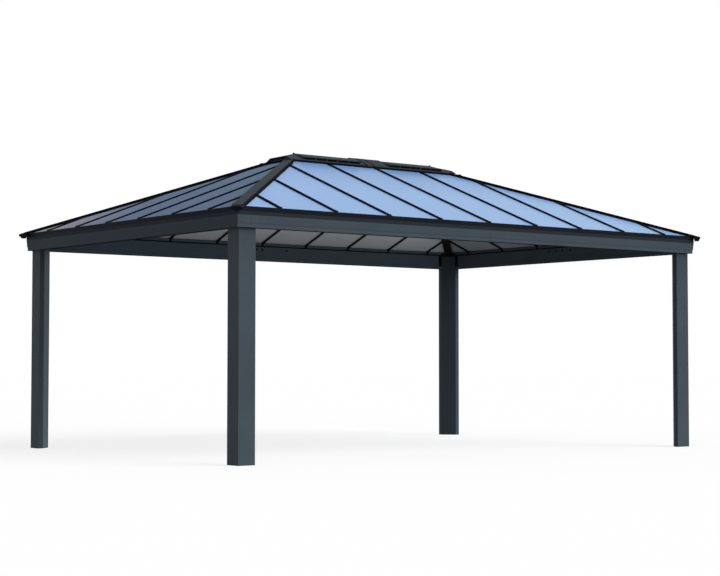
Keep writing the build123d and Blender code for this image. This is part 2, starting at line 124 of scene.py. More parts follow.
def addFloor():
    bpy.ops.mesh.primitive_plane_add(size=studio["floorSize"])
    floor = bpy.context.object
    floor.name = "studioFloor"
    material = bpy.data.materials.new("paleFloor")
    material.use_nodes = True
    tree = material.node_tree
    tree.nodes.clear()
    lift = tree.nodes.new("ShaderNodeEmission")
    lift.inputs["Strength"].default_value = studio["floorLift"]
    lifted = tree.nodes.new("ShaderNodeAddShader")
    mix = tree.nodes.new("ShaderNodeMixShader")
    out = tree.nodes.new("ShaderNodeOutputMaterial")
    tree.links.new(diffuseGrey(tree, studio["floorGrey"]).outputs[0], lifted.inputs[0])
    tree.links.new(lift.outputs[0], lifted.inputs[1])
    tree.links.new(seenBySight(tree), mix.inputs[0])
    tree.links.new(diffuseGrey(tree, studio["floorBounce"]).outputs[0], mix.inputs[1])
    tree.links.new(lifted.outputs[0], mix.inputs[2])
    tree.links.new(mix.outputs[0], out.inputs["Surface"])
    floor.data.materials.append(material)


def addSun(name, comesFrom, power, spreadDegrees):
    aim = Vector(comesFrom).to_track_quat("Z", "Y").to_euler()
    bpy.ops.object.light_add(type="SUN", rotation=aim)
    lamp = bpy.context.object
    lamp.name = name
    lamp.data.energy = power
    lamp.data.angle = math.radians(spreadDegrees)


addWorld()
addFloor()
addSun("keySun", studio["sunFrom"], studio["sunPower"], studio["sunSpreadDegrees"])
addSun("fillSun", studio["fillFrom"], studio["fillPower"], studio["sunSpreadDegrees"])
bpy.context.scene.view_settings.view_transform = "Standard"
print("studio lit")

# places taken from the frame


def boxOf(name):
    low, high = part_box(name)
    return Vector(low), Vector(high)


slope = math.tan(math.radians(21.0))    # all four slopes rise alike
trimLow, trimHigh = boxOf("eave_trim_front")
beamLow, beamHigh = boxOf("gutter_beam_front_east")
sideBeamLow, sideBeamHigh = boxOf("gutter_beam_right")
ventLow, ventHigh = boxOf("vent_end_right")
middleLow, middleHigh = boxOf("vent_middle")
louvreLow, louvreHigh = boxOf("vent_louvre_right")
halfLong = trimHigh.x                   # gutter lip, long way
halfShort = -trimLow.y
headroom = beamLow.z
upstandTop = beamHigh.z
beamBack = halfShort + beamHigh.y       # lip to the inner face of a beam
sheetEdge = 2.270                       # sheets at the line of the lip
coveTop = 2.235
faceTop = trimLow.z
ventIn = halfShort - middleHigh.y       # lip to the vent's long side
ventSeat = middleLow.z
ventBand = 0.0155                       # plain band above the seat
sides = {
    "front": (0, halfLong, halfShort),
    "right": (90, halfShort, halfLong),
    "back": (180, halfLong, halfShort),
    "left": (270, halfShort, halfLong),
}
corners = {
    "frontRight": (45, halfLong, -halfShort),
    "backRight": (135, halfLong, halfShort),
    "backLeft": (225, -halfLong, halfShort),
    "frontLeft": (315, -halfLong, -halfShort),
}
ribStep = 0.625
ribEndRoom = 0.2                        # no rib closer to the corner
ribWidth = 0.026
ribTop = 0.01393                        # over the sheets, upright
sheetDeep = 0.00643


def ribPlaces(side):
    half = sides[side][1]
    offset = 0.0 if side in ("front", "back") else 0.5
    count = int((half - ribEndRoom) / ribStep - offset)
    places = [(n + offset) * ribStep for n in range(count + 1)]
    return sorted({-a for a in places} | set(places))


def roofZ(inward):
    return sheetEdge + slope * inward


print("places read")

# finishes


def linear(red, green, blue):
    values = [v / 255 for v in (red, green, blue)]
    return tuple(v / 12.92 if v <= 0.04045 else ((v + 0.055) / 1.055) ** 2.4 for v in values) + (1,)


def toned(colour, factor):
    return tuple(c * factor for c in colour[:3]) + (1,)


def newFinish(name):
    material = bpy.data.materials.new(name)
    material.use_nodes = True
    return material, material.node_tree, material.node_tree.nodes["Principled BSDF"]


def objectPoint(tree):
    point = tree.nodes.new("ShaderNodeTexCoord")
    return point.outputs["Object"]


def partOf(tree, point, axis):
    split = tree.nodes.new("ShaderNodeSeparateXYZ")
    tree.links.new(point, split.inputs[0])
    return split.outputs[axis]


def mathOf(tree, operation, first, second=0.0):
    node = tree.nodes.new("ShaderNodeMath")
    node.operation = operation
    for value, socket in ((first, node.inputs[0]), (second, node.inputs[1])):
        if isinstance(value, (int, float)):
            socket.default_value = value
        else:
            tree.links.new(value, socket)
    return node.outputs[0]


def noiseOn(tree, point, scale, detail=2.0):
    noise = tree.nodes.new("ShaderNodeTexNoise")
    noise.inputs["Scale"].default_value = scale
    noise.inputs["Detail"].default_value = detail
    tree.links.new(point, noise.inputs["Vector"])
    return noise.outputs["Fac"]


def rampOf(tree, value, stops):
    ramp = tree.nodes.new("ShaderNodeValToRGB")
    first, last = ramp.color_ramp.elements
    first.position, first.color = stops[0]
    last.position, last.color = stops[-1]
    for place, colour in stops[1:-1]:
        ramp.color_ramp.elements.new(place).color = colour
    tree.links.new(value, ramp.inputs["Fac"])
    return ramp.outputs["Color"]


def spread(tree, value, low, high, toLow=0.0, toHigh=1.0):
    span = tree.nodes.new("ShaderNodeMapRange")
    for name, number in (("From Min", low), ("From Max", high), ("To Min", toLow), ("To Max", toHigh)):
        span.inputs[name].default_value = number
    tree.links.new(value, span.inputs["Value"])
    return span.outputs[0]


def mixOf(tree, share, first, second, blend="MIX"):
    mix = tree.nodes.new("ShaderNodeMix")
    mix.data_type = "RGBA"
    mix.blend_type = blend
    for value, socket in ((share, mix.inputs[0]), (first, mix.inputs[6]), (second, mix.inputs[7])):
        if isinstance(value, (int, float, tuple)):
            socket.default_value = value
        else:
            tree.links.new(value, socket)
    return mix.outputs[2]


def bumpOf(tree, value, strength, distance):
    bump = tree.nodes.new("ShaderNodeBump")
    bump.inputs["Strength"].default_value = strength
    bump.inputs["Distance"].default_value = distance
    tree.links.new(value, bump.inputs["Height"])
    return bump.outputs["Normal"]


white = (1, 1, 1, 1)
coat = {
    "grainScale": 420.0,       # orange peel of baked powder
    "grainDeep": 0.0004,
    "grainBump": 0.25,
    "shineSpread": 0.05,
    "cloudScale": 2.2,
    "cloudDetail": 3.0,
    "cloudTone": 0.06,
    "postRoughness": 0.5,
    "postSpecular": 0.055,
    "fasciaSpecular": 0.04,
    "faceDeep": 0.011,         # lip to the deepest part of the outer faces
    "innerDeep": 0.098,        # lip to just short of the inner faces
    "innerBand": 0.012,
    "webReach": 0.3255,        # both lips to the inner web of a post, added up
    "litTurn": 1.2,            # normal's X less Y, over which the web looks to the front and takes painted light
}


def grained(tree, shader, point, roughness):
    grain = noiseOn(tree, point, coat["grainScale"], 1.0)
    low = roughness - coat["shineSpread"]
    high = roughness + coat["shineSpread"]
    tree.links.new(spread(tree, grain, 0.0, 1.0, low, high), shader.inputs["Roughness"])
    tree.links.new(bumpOf(tree, grain, coat["grainBump"], coat["grainDeep"]), shader.inputs["Normal"])


def powderCoat(name, colour, roughness=0.5, specular=0.06, under=None, splitZ=0.0):
    material, tree, shader = newFinish(name)
    point = objectPoint(tree)
    cloud = noiseOn(tree, point, coat["cloudScale"], coat["cloudDetail"])
    low = toned(colour, 1 - coat["cloudTone"])
    high = toned(colour, 1 + coat["cloudTone"])
    tone = rampOf(tree, cloud, [(0.3, low), (0.7, high)])
    if under:                  # second colour below a height
        above = mathOf(tree, "GREATER_THAN", partOf(tree, point, "Z"), splitZ)
        tone = mixOf(tree, above, under, tone)
    tree.links.new(tone, shader.inputs["Base Color"])
    grained(tree, shader, point, roughness)
    shader.inputs["Specular IOR Level"].default_value = specular
    return material


def postCoat(name, colour, foot, top, webPaintedShade, webPaintedLight):
    material, tree, shader = newFinish(name)
    point = objectPoint(tree)
    # painted light and shade by height: lighter at the foot, darker at the top under the beams
    height = spread(tree, partOf(tree, point, "Z"), 0.0, headroom)
    tone = rampOf(tree, height, [(0.0, foot), (0.35, colour), (0.8, colour), (1.0, top)])
    cloud = noiseOn(tree, point, coat["cloudScale"], coat["cloudDetail"])
    shade = rampOf(tree, cloud, [(0.3, linear(238, 238, 238)), (0.7, white)])
    tone = mixOf(tree, 1.0, tone, shade, "MULTIPLY")
    # inner web: painted shade, with painted light where the web faces out to the front
    across = mathOf(tree, "ABSOLUTE", partOf(tree, point, "X"))
    reach = mathOf(tree, "ADD", across, mathOf(tree, "ABSOLUTE", partOf(tree, point, "Y")))
    inside = mathOf(tree, "LESS_THAN", reach, halfLong + halfShort - coat["webReach"])
    facing = tree.nodes.new("ShaderNodeTexCoord").outputs["Normal"]
    turned = mathOf(tree, "SUBTRACT", partOf(tree, facing, "X"), partOf(tree, facing, "Y"))
    inner = mixOf(tree, mathOf(tree, "GREATER_THAN", turned, coat["litTurn"]), webPaintedShade, webPaintedLight)
    tree.links.new(mixOf(tree, inside, tone, inner), shader.inputs["Base Color"])
    grained(tree, shader, point, coat["postRoughness"])
    shader.inputs["Specular IOR Level"].default_value = coat["postSpecular"]
    return material


def fasciaCoat(name, colour, shortSidePaintedShade, innerFacePaintedLight):
    material = powderCoat(name, colour, specular=coat["fasciaSpecular"])
    tree = material.node_tree
    shader = tree.nodes["Principled BSDF"]
    point = objectPoint(tree)
    tone = shader.inputs["Base Color"].links[0].from_socket
    # painted shade: darker colour on the short sides
    across = mathOf(tree, "ABSOLUTE", partOf(tree, point, "X"))
    paintedShadeOnShort = mathOf(tree, "GREATER_THAN", across, halfLong - coat["faceDeep"])
    tone = mixOf(tree, paintedShadeOnShort, tone, shortSidePaintedShade)
    # painted light: paler colour on the inner faces of the beams
    along = mathOf(tree, "ABSOLUTE", partOf(tree, point, "Y"))
    inward = mathOf(tree, "SUBTRACT", halfShort, along)
    behind = mathOf(tree, "GREATER_THAN", inward, coat["innerDeep"])
    near = mathOf(tree, "LESS_THAN", inward, coat["innerDeep"] + coat["innerBand"])
    between = mathOf(tree, "LESS_THAN", across, halfLong - coat["innerDeep"])
    inside = mathOf(tree, "MULTIPLY", mathOf(tree, "MULTIPLY", behind, near), between)
    tree.links.new(mixOf(tree, inside, tone, innerFacePaintedLight), shader.inputs["Base Color"])
    return material


sheetLook = {
    "fluteWide": 0.011,        # pitch of the channels in a twin-wall sheet
    "fluteTone": 0.03,
    "fluteDeep": 0.0006,
    "fluteBump": 0.06,
    "cloudScale": 0.5,
    "cloudTone": 0.025,
    "roughness": 0.28,
    "reflectionStart": 0.2,
    "reflectionInward": (0.9, 0.3),          # from none to full
    "reflectionSweep": (0.81, 0.87, 0.98, 1),    # painted reflection, darker toward one end of the long slopes
}


def roofSheet(name, low, high, under, specular, alongAxis, inwardAxis, half, reflectionEnd=None):
    material, tree, shader = newFinish(name)
    point = objectPoint(tree)
    along = partOf(tree, point, alongAxis)
    inward = mathOf(tree, "SUBTRACT", half, mathOf(tree, "ABSOLUTE", partOf(tree, point, inwardAxis)))
    rise = mathOf(tree, "MULTIPLY", inward, slope)
    height = mathOf(tree, "SUBTRACT", partOf(tree, point, "Z"), rise)
    onTop = mathOf(tree, "GREATER_THAN", height, sheetEdge - sheetDeep / 2)
    # painted light and shade by height: the long slopes darken toward the vent, the short slopes
    # lighten a little
    climb = spread(tree, inward, 0.0, ventIn)
    tone = rampOf(tree, climb, [(0.0, low), (0.45, low), (1.0, high)])
    if reflectionEnd:                # painted reflection, paler toward one end of the slope
        reflectionAlong = spread(tree, along, sheetLook["reflectionStart"], halfShort)
        outer = spread(tree, inward, *sheetLook["reflectionInward"])
        tone = mixOf(tree, mathOf(tree, "MULTIPLY", reflectionAlong, outer), tone, reflectionEnd)
    else:
        # painted reflection: darker toward the -X end of the long slopes
        across = spread(tree, along, -halfLong, halfLong)
        reflectionSweep = rampOf(tree, across, [(0.0, sheetLook["reflectionSweep"]), (1.0, white)])
        tone = mixOf(tree, 1.0, tone, reflectionSweep, "MULTIPLY")
    turns = mathOf(tree, "MULTIPLY", along, 2 * math.pi / sheetLook["fluteWide"])
    flute = mathOf(tree, "SINE", turns)
    grooved = toned(white, 1 - sheetLook["fluteTone"])
    clouded = toned(white, 1 - sheetLook["cloudTone"])
    fluteTint = rampOf(tree, spread(tree, flute, -1.0, 1.0), [(0.0, grooved), (0.4, white)])
    tone = mixOf(tree, 1.0, tone, fluteTint, "MULTIPLY")
    cloud = rampOf(tree, noiseOn(tree, point, sheetLook["cloudScale"]), [(0.3, clouded), (0.7, white)])
    tone = mixOf(tree, 1.0, tone, cloud, "MULTIPLY")
    # undersides take the paler under colour: painted light coming through the sheets
    tree.links.new(mixOf(tree, onTop, under, tone), shader.inputs["Base Color"])
    ripple = bumpOf(tree, flute, sheetLook["fluteBump"], sheetLook["fluteDeep"])
    tree.links.new(ripple, shader.inputs["Normal"])
    shader.inputs["Roughness"].default_value = sheetLook["roughness"]
    shader.inputs["Specular IOR Level"].default_value = specular
    return material


frameColour = linear(63, 73, 81)
# posts: painted light toward the foot, painted shade toward the top under the beams
frameFootPaintedLight = linear(67, 78, 86)
frameTopPaintedShade = linear(57, 66, 73)
# inner web of the posts: painted shade, and painted light where it faces out to the front
frameWebPaintedShade = linear(48, 57, 64)
frameWebPaintedLight = linear(83, 97, 107)       # painted light on the inner web that looks out to the front
fasciaColour = linear(61, 70, 77)
fasciaShortPaintedShade = linear(48, 59, 67)        # painted shade on the short sides
fasciaInnerPaintedLight = linear(76, 90, 100)       # painted light on the sheltered inner faces
# painted shade: darker, matte colour for the downward faces of the beams
fasciaUnderPaintedShade = linear(40, 46, 51)
trimColour = linear(16, 20, 27)
# painted shadow of the lip on the cove below it
covePaintedShade = linear(32, 39, 45)
ribColour = linear(12, 13, 17)
capColour = linear(48, 55, 60)
mouldColour = linear(14, 15, 18)

finishes = {
    "post": postCoat("powderCoatSlate", frameColour, frameFootPaintedLight, frameTopPaintedShade, frameWebPaintedShade, frameWebPaintedLight),
    "fascia": fasciaCoat("powderCoatFascia", fasciaColour, fasciaShortPaintedShade, fasciaInnerPaintedLight),
    "under": powderCoat("powderCoatUnderPaintedShade", fasciaUnderPaintedShade, 0.9, 0.0),
    "trim": powderCoat("powderCoatCharcoal", trimColour, 0.5, 0.03, covePaintedShade, coveTop),
    "rib": powderCoat("powderCoatBlack", ribColour, 0.6, 0.02),
    "cap": powderCoat("powderCoatGrey", capColour, 0.6, 0.02),
    "mould": powderCoat("blackMoulding", mouldColour, 0.6, 0.05),
    "rubber": powderCoat("sealRubber", linear(10, 10, 11), 0.8, 0.02),
    "seam": powderCoat("seamShadow", linear(44, 51, 57), 0.8, 0.02),
    "screw": powderCoat("paintedScrew", linear(46, 53, 59), 0.45, 0.08),
    # sheet tops: blue as painted sky reflection, the long slopes lighter and bluer than the short ones
    # as painted light; undersides paler as painted light coming through, more on the long slopes
    "longSheet": roofSheet("sheetLongSlopes", linear(138, 176, 220), linear(122, 158, 204),
                           linear(176, 181, 186), 0.05, "X", "Y", halfShort),
    "shortSheet": roofSheet("sheetShortSlopes", linear(116, 136, 164), linear(122, 144, 172),
                            linear(130, 135, 140), 0.0, "Y", "X", halfLong, linear(176, 173, 182)),
}


def finishFor(name):
    if name.startswith(("post_front", "post_back", "foot")):
        return finishes["post"]
    if name.startswith(("beam_corner", "gutter_beam")):
        return finishes["fascia"]
    if name.startswith("eave_trim"):
        return finishes["trim"]
    if name.startswith(("ribs", "hip_rafter", "hip_bars", "post_brackets", "vent_curb")):
        return finishes["rib"]
    if name.startswith(("hip_cap", "vent")):
        return finishes["cap"]
    if name.startswith("hip_end"):
        return finishes["mould"]
    if name.endswith(("front", "back")):
        return finishes["longSheet"]
    return finishes["shortSheet"]


def secondFinish(node, finish, wanted):
    node.data.materials.append(finish)
    for face in node.data.polygons:
        face.material_index = 1 if wanted(face.normal) else 0


for name, node in nodes.items():
    node.data.materials.clear()
    node.data.materials.append(finishFor(name))
    # downward faces of the beams take the painted shade of the under finish
    if name.startswith(("beam_corner", "gutter_beam")):
        secondFinish(node, finishes["under"], lambda normal: normal.z < -0.9)
    if name.startswith("hip_cap"):    # black edges beside the sheets
        turn = -1 if name.endswith(("front_right", "back_left")) else 1
        across = Vector((1, -turn, 0)).normalized()
        secondFinish(node, finishes["rib"], lambda normal: abs(normal.dot(across)) > 0.8)
print("finishes on")

# ways of making: an outline drawn point by point, pushed out, then copied round


def outlineBar(name, outline, push):
    clearSelection()
    bpy.ops.mesh.primitive_plane_add(size=0.01)
    bar = bpy.context.object
    bar.name = name
    bpy.ops.object.mode_set(mode="EDIT")
    bpy.ops.mesh.select_mode(type="VERT")
    bpy.ops.mesh.select_all(action="SELECT")
    bpy.ops.mesh.merge(type="CENTER")
    bpy.ops.transform.translate(value=outline[0])
    for here, there in zip(outline, outline[1:]):
        step = [b - a for a, b in zip(here, there)]
        bpy.ops.mesh.extrude_region_move(TRANSFORM_OT_translate={"value": step})
    bpy.ops.mesh.select_all(action="SELECT")
    bpy.ops.mesh.edge_face_add()
    bpy.ops.mesh.extrude_region_move(TRANSFORM_OT_translate={"value": push})
    bpy.ops.mesh.select_all(action="SELECT")
    bpy.ops.mesh.normals_make_consistent(inside=False)
    bpy.ops.object.mode_set(mode="OBJECT")
    return bar


def copyOf(piece, spot=(0, 0, 0), turnDegrees=0.0):
    clearSelection()
    piece.select_set(True)
    bpy.context.view_layer.objects.active = piece
    bpy.ops.object.duplicate()
    copy = bpy.context.object
    copy.location = spot
    copy.rotation_euler = (0, 0, math.radians(turnDegrees))
    return copy


def spotOn(side, along=0.0, inward=0.0, up=0.0):
    turn, _, reach = sides[side]
    spot = Vector((along, inward - reach, up))
    spot.rotate(Euler((0, 0, math.radians(turn))))
    return spot, turn


def joined(name, pieces, finish):
    clearSelection()
    for piece in pieces:
        piece.select_set(True)
    bpy.context.view_layer.objects.active = pieces[0]
    if len(pieces) > 1:
        bpy.ops.object.join()
    whole = bpy.context.object
    whole.name = name
    bpy.ops.object.transform_apply(location=True, rotation=True, scale=True)
    whole.data.materials.clear()
    whole.data.materials.append(finish)
    for face in whole.data.polygons:
        face.material_index = 0
    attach(whole, "root")
    return whole


def dropped(piece):
    clearSelection()
    piece.select_set(True)
    bpy.context.view_layer.objects.active = piece
    bpy.ops.object.delete()


def roundSides(name, bySide, finish):
    copies = []
    for side, pieces in bySide.items():
        for piece, along, inward, up in pieces:
            spot, turn = spotOn(side, along, inward, up)
            copies.append(copyOf(piece, spot, turn))
    for piece in {p[0] for pieces in bySide.values() for p in pieces}:
        dropped(piece)
    return joined(name, copies, finish)


def sideBar(name, section, start, end):
    outline = [(start, y, z) for y, z in section]
    return outlineBar(name, outline, (end - start, 0, 0))


def slopeBar(name, section, along, start, end):
    outline = [(along + x, start, roofZ(start) + z) for x, z in section]
    run = end - start
    return outlineBar(name, outline, (0, run, slope * run))

# inner side of the beams: flange on the upstand with a black painted shadow line under it, drip lip at
# the foot

ledge = {
    "flangeHigh": 0.021,       # pale flange under the sheets
    "flangeProud": 0.006,
    "flangeBelow": 0.001,
    "shadowLineTop": 2.267,
    "shadowLineHigh": 0.012,
    "shadowLineProud": 0.002,
    "dripTop": 2.119,
    "dripHigh": 0.012,
    "dripProud": 0.004,
}
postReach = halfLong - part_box("post_front_right")[0].x


def ledgeSections():
    flangeLow = upstandTop - ledge["flangeHigh"]
    shadowLineLow = ledge["shadowLineTop"] - ledge["shadowLineHigh"]
    dripLow = ledge["dripTop"] - ledge["dripHigh"]
    return {
        "upstandFlange": (flangeLow, upstandTop - ledge["flangeBelow"], ledge["flangeProud"], "fascia"),
        # black strip under the flange: painted shadow line
        "upstandShadowLine": (shadowLineLow, ledge["shadowLineTop"], ledge["shadowLineProud"], "rubber"),
        "dripLip": (dripLow, ledge["dripTop"], ledge["dripProud"], "fascia"),
    }


def chamfered(low, high, face, corner):
    section = [(beamBack, low), (face - corner, low), (face, low + corner)]
    return section + [(face, high - corner), (face - corner, high), (beamBack, high)]


def addLedges():
    for name, (low, high, proud, finish) in ledgeSections().items():
        section = chamfered(low, high, beamBack + proud, proud / 3)
        bySide = {}
        for side, (_, half, _) in sides.items():
            reach = half - postReach
            bySide[side] = [(sideBar(name, section, -reach, reach), 0, 0, 0)]
        roundSides(name, bySide, finishes[finish])


addLedges()
print("inner ledges added")

# dark plates that tie the beams to the posts, on the inner faces

tiePlate = {
    "wide": 0.042,
    "thick": 0.004,
    "low": 2.122,
    "high": 2.252,
    "corner": 0.0015,
    "boltRise": 0.036,
}
boltHead = {
    "radius": 0.0075,
    "thick": 0.005,
    "washerRadius": 0.012,
    "washerThick": 0.0015,
}
headShape = {"rim": 0.18, "dish": 0.22, "socket": 0.35, "socketDeep": 0.5}


def pickFaces(piece, wanted):
    bpy.ops.object.mode_set(mode="EDIT")
    bpy.ops.mesh.select_mode(type="FACE")
    bpy.ops.mesh.select_all(action="DESELECT")
    bpy.ops.object.mode_set(mode="OBJECT")
    for face in piece.data.polygons:
        face.select = wanted(face)
    bpy.ops.object.mode_set(mode="EDIT")


def headFacing(name, radius, thick, edges, way):
    clearSelection()
    bpy.ops.mesh.primitive_cylinder_add(
        vertices=edges, radius=radius, depth=thick,
        location=(0, way * thick / 2, 0), rotation=(math.pi / 2, 0, 0))
    head = bpy.context.object
    head.name = name
    bpy.ops.object.transform_apply(location=True, rotation=True, scale=True)
    pickFaces(head, lambda face: face.normal.y * way > 0.9)
    bpy.ops.mesh.inset(thickness=radius * headShape["rim"], depth=thick * headShape["dish"])
    bpy.ops.mesh.inset(thickness=radius * headShape["socket"])
    sink = (0, -way * thick * headShape["socketDeep"], 0)
    bpy.ops.mesh.extrude_region_move(TRANSFORM_OT_translate={"value": sink})
    bpy.ops.object.mode_set(mode="OBJECT")
    return head


def makeBolt(way):
    washer = headFacing("boltWasher", boltHead["washerRadius"], boltHead["washerThick"], 20, way)
    head = headFacing("boltHex", boltHead["radius"], boltHead["thick"], 6, way)
    clearSelection()
    head.select_set(True)
    washer.select_set(True)
    bpy.context.view_layer.objects.active = head
    bpy.ops.object.join()
    return head


def addTiePlates():
    low = tiePlate["low"]
    high = tiePlate["high"]
    front = beamBack + tiePlate["thick"]
    section = chamfered(low, high, front, tiePlate["corner"])
    bySide = {}
    boltsBySide = {}
    bolt = makeBolt(1)
    for side, (_, half, _) in sides.items():
        edge = half - postReach
        bySide[side] = []
        boltsBySide[side] = []
        for start in (-edge, edge - tiePlate["wide"]):
            plate = sideBar("tiePlate", section, start, start + tiePlate["wide"])
            bySide[side].append((plate, 0, 0, 0))
            middle = start + tiePlate["wide"] / 2
            for up in (low + tiePlate["boltRise"], high - tiePlate["boltRise"]):
                boltsBySide[side].append((bolt, middle, front, up))
    roundSides("tiePlates", bySide, finishes["rib"])
    roundSides("tieBolts", boltsBySide, finishes["rib"])


addTiePlates()
print("tie plates added")

# splice bolts in a row along the inner faces

splice = {
    "height": 2.221,
    "longSides": (0.078, -0.001, -0.346),
    "shortSidePaintedShade": (0.122, -0.003, -0.105, -0.235),
}


def addSpliceBolts():
    bolt = makeBolt(1)
    bySide = {}
    for side in sides:
        places = splice["longSides"] if side in ("front", "back") else splice["shortSidePaintedShade"]
        bySide[side] = [(bolt, along, beamBack, splice["height"]) for along in places]
    roundSides("spliceBolts", bySide, finishes["rib"])


addSpliceBolts()
print("splice bolts added")

# screws on the leaning face near the corners

fasciaScrew = {
    "radius": 0.005,
    "thick": 0.0022,
    "sunk": 0.0003,
    "leftEnd": ((0.256, 2.169), (0.317, 2.182), (0.329, 2.163), (0.054, 2.139)),
    "rightEnd": ((0.214, 2.190), (0.228, 2.169), (0.197, 2.145)),
}
fasciaFace = {"topIn": 0.0015, "footIn": 0.0065, "footHeight": 2.133}


def faceIn(height):
    share = (faceTop - height) / (faceTop - fasciaFace["footHeight"])
    return fasciaFace["topIn"] + share * (fasciaFace["footIn"] - fasciaFace["topIn"])


def addFasciaScrews():
    screw = headFacing("fasciaScrew", fasciaScrew["radius"], fasciaScrew["thick"], 14, -1)
    bySide = {}
    for side, (_, half, _) in sides.items():
        spots = [(inset - half, up) for inset, up in fasciaScrew["leftEnd"]]
        spots += [(half - inset, up) for inset, up in fasciaScrew["rightEnd"]]
        bySide[side] = [(screw, along, faceIn(up) + fasciaScrew["sunk"], up) for along, up in spots]
    roundSides("fasciaScrews", bySide, finishes["screw"])


addFasciaScrews()
print("fascia screws added")

# joint lines where lengths of fascia meet

seam = {
    "wide": 0.0020,
    "proud": 0.0004,
    "deep": 0.002,
    "cornerLeg": 0.150,
    "stripIn": 0.0105,
    "stripTop": 2.121,
    "coveMidIn": 0.0034,
    "coveTopIn": 0.0025,
}


def seamSection(withCove):
    face = [(seam["stripIn"], headroom), (seam["stripIn"], seam["stripTop"])]
    face += [(fasciaFace["footIn"], fasciaFace["footHeight"]), (fasciaFace["topIn"], faceTop)]
    if withCove:
        face += [(seam["coveMidIn"], (faceTop + coveTop) / 2), (seam["coveTopIn"], coveTop)]
    outer = [(y - seam["proud"], z) for y, z in face]
    inner = [(y + seam["deep"], z) for y, z in reversed(face)]
    return outer + inner


def addSeams():
    bySide = {}
    for side, (_, half, _) in sides.items():
        starts = [seam["cornerLeg"] - half, half - seam["cornerLeg"] - seam["wide"]]
        pieces = [sideBar("fasciaSeam", seamSection(False), a, a + seam["wide"]) for a in starts]
        if side in ("front", "back"):
            middle = -seam["wide"] / 2
            pieces.append(sideBar("fasciaSeam", seamSection(True), middle, -middle))
        bySide[side] = [(piece, 0, 0, 0) for piece in pieces]
    roundSides("fasciaSeams", bySide, finishes["seam"])


addSeams()
print("fascia seams added")

# brackets under the feet of the rib bars, and moulded stops at the lower ends

ribBracket = {
    "wide": 0.024,
    "plateThick": 0.0075,
    "plateFoot": 2.266,
    "leg": 0.050,
    "legThick": 0.003,
    "barDeep": 0.0236,         # sheets' top down to the underside of the bar
}
ribStop = {
    "wide": 0.030,
    "start": 0.001,
    "end": 0.022,
    "rise": 0.0165,
    "seat": 0.004,
    "corner": 0.004,
    "softEdge": 0.0012,
}


def addRibBrackets():
    def under(y):
        return roofZ(y) - ribBracket["barDeep"]

    plate = beamBack + ribBracket["plateThick"]
    end = beamBack + ribBracket["leg"]
    thick = ribBracket["legThick"]
    section = [(beamBack, ribBracket["plateFoot"]), (plate, ribBracket["plateFoot"])]
    section += [(plate, under(plate) - thick), (end, under(end) - thick), (end, under(end))]
    section.append((beamBack, under(beamBack)))
    half = ribBracket["wide"] / 2
    bracket = sideBar("ribBracket", section, -half, half)
    bySide = {side: [(bracket, a, 0, 0) for a in ribPlaces(side)] for side in sides}
    roundSides("ribBrackets", bySide, finishes["rib"])


def addRibStops():
    start = ribStop["start"]
    end = ribStop["end"]
    corner = ribStop["corner"]
    top = ribStop["rise"]
    section = [(start, roofZ(start) + ribStop["seat"]), (start, roofZ(start) + top - corner)]
    section += [(start + corner, roofZ(start + corner) + top), (end, roofZ(end) + top)]
    section.append((end, roofZ(end) + ribStop["seat"]))
    half = ribStop["wide"] / 2
    stop = sideBar("ribStop", section, -half, half)
    bevel = stop.modifiers.new("softEdges", "BEVEL")
    bevel.width = ribStop["softEdge"]
    bevel.segments = 2
    bpy.ops.object.modifier_apply(modifier="softEdges")
    bySide = {side: [(stop, a, 0, 0) for a in ribPlaces(side)] for side in sides}
    roundSides("ribStops", bySide, finishes["mould"])


addRibBrackets()
addRibStops()
print("rib brackets and stops added")

# rubber seals down both sides of every rib and a raised bead along its top

ribSeal = {"wide": 0.009, "high": 0.004, "start": 0.013, "hipGap": 0.072}
ribBead = {"wide": 0.007, "topWide": 0.005, "high": 0.0012}


def addRibTrims():
    half = ribWidth / 2
    sealSections = []
    for way in (-1, 1):
        edge = way * half
        sealSections.append([(edge, 0), (edge + way * ribSeal["wide"], 0), (edge, ribSeal["high"])])
    foot = ribBead["wide"] / 2
    crown = ribBead["topWide"] / 2
    lift = ribTop + ribBead["high"]
    bead = [(-foot, ribTop), (foot, ribTop), (crown, lift), (-crown, lift)]
    seals = {}
    beads = {}
    for side, (_, length, _) in sides.items():
        seals[side] = []
        beads[side] = []
        for a in ribPlaces(side):
            end = min(length - abs(a) - ribSeal["hipGap"], ventIn)
            for section in sealSections:
                seals[side].append((slopeBar("ribSeal", section, a, ribSeal["start"], end), 0, 0, 0))
            beads[side].append((slopeBar("ribBead", bead, a, ribStop["end"], end), 0, 0, 0))
    roundSides("ribSeals", seals, finishes["rubber"])
    roundSides("ribBeads", beads, finishes["rib"])


addRibTrims()
print("rib seals and beads added")

# seals where the sheets pass under the hip bars, and a black collar at the vent's corners as painted
# shadow of the gap over each hip cap

hipSlope = slope / math.sqrt(2)
hipSeal = {"at": 0.050, "wide": 0.009, "high": 0.006, "start": 0.09}
hipShadowCollar = {
    "half": 0.0515,
    "shoulder": 0.0235,
    "crown": 0.0285,
    "crownHalf": 0.024,
    "foot": -0.016,
    "back": 0.049,             # vent's corner back to the shadow collar
    "long": 0.026,
}


def hipOutline(points, start):
    return [(x, start, sheetEdge + hipSlope * start + z) for x, z in points]


def roundCorners(name, pieces, finish):
    copies = []
    for turn, x, y in corners.values():
        copies += [copyOf(piece, (x, y, 0), turn) for piece in pieces]
    for piece in pieces:
        dropped(piece)
    return joined(name, copies, finish)


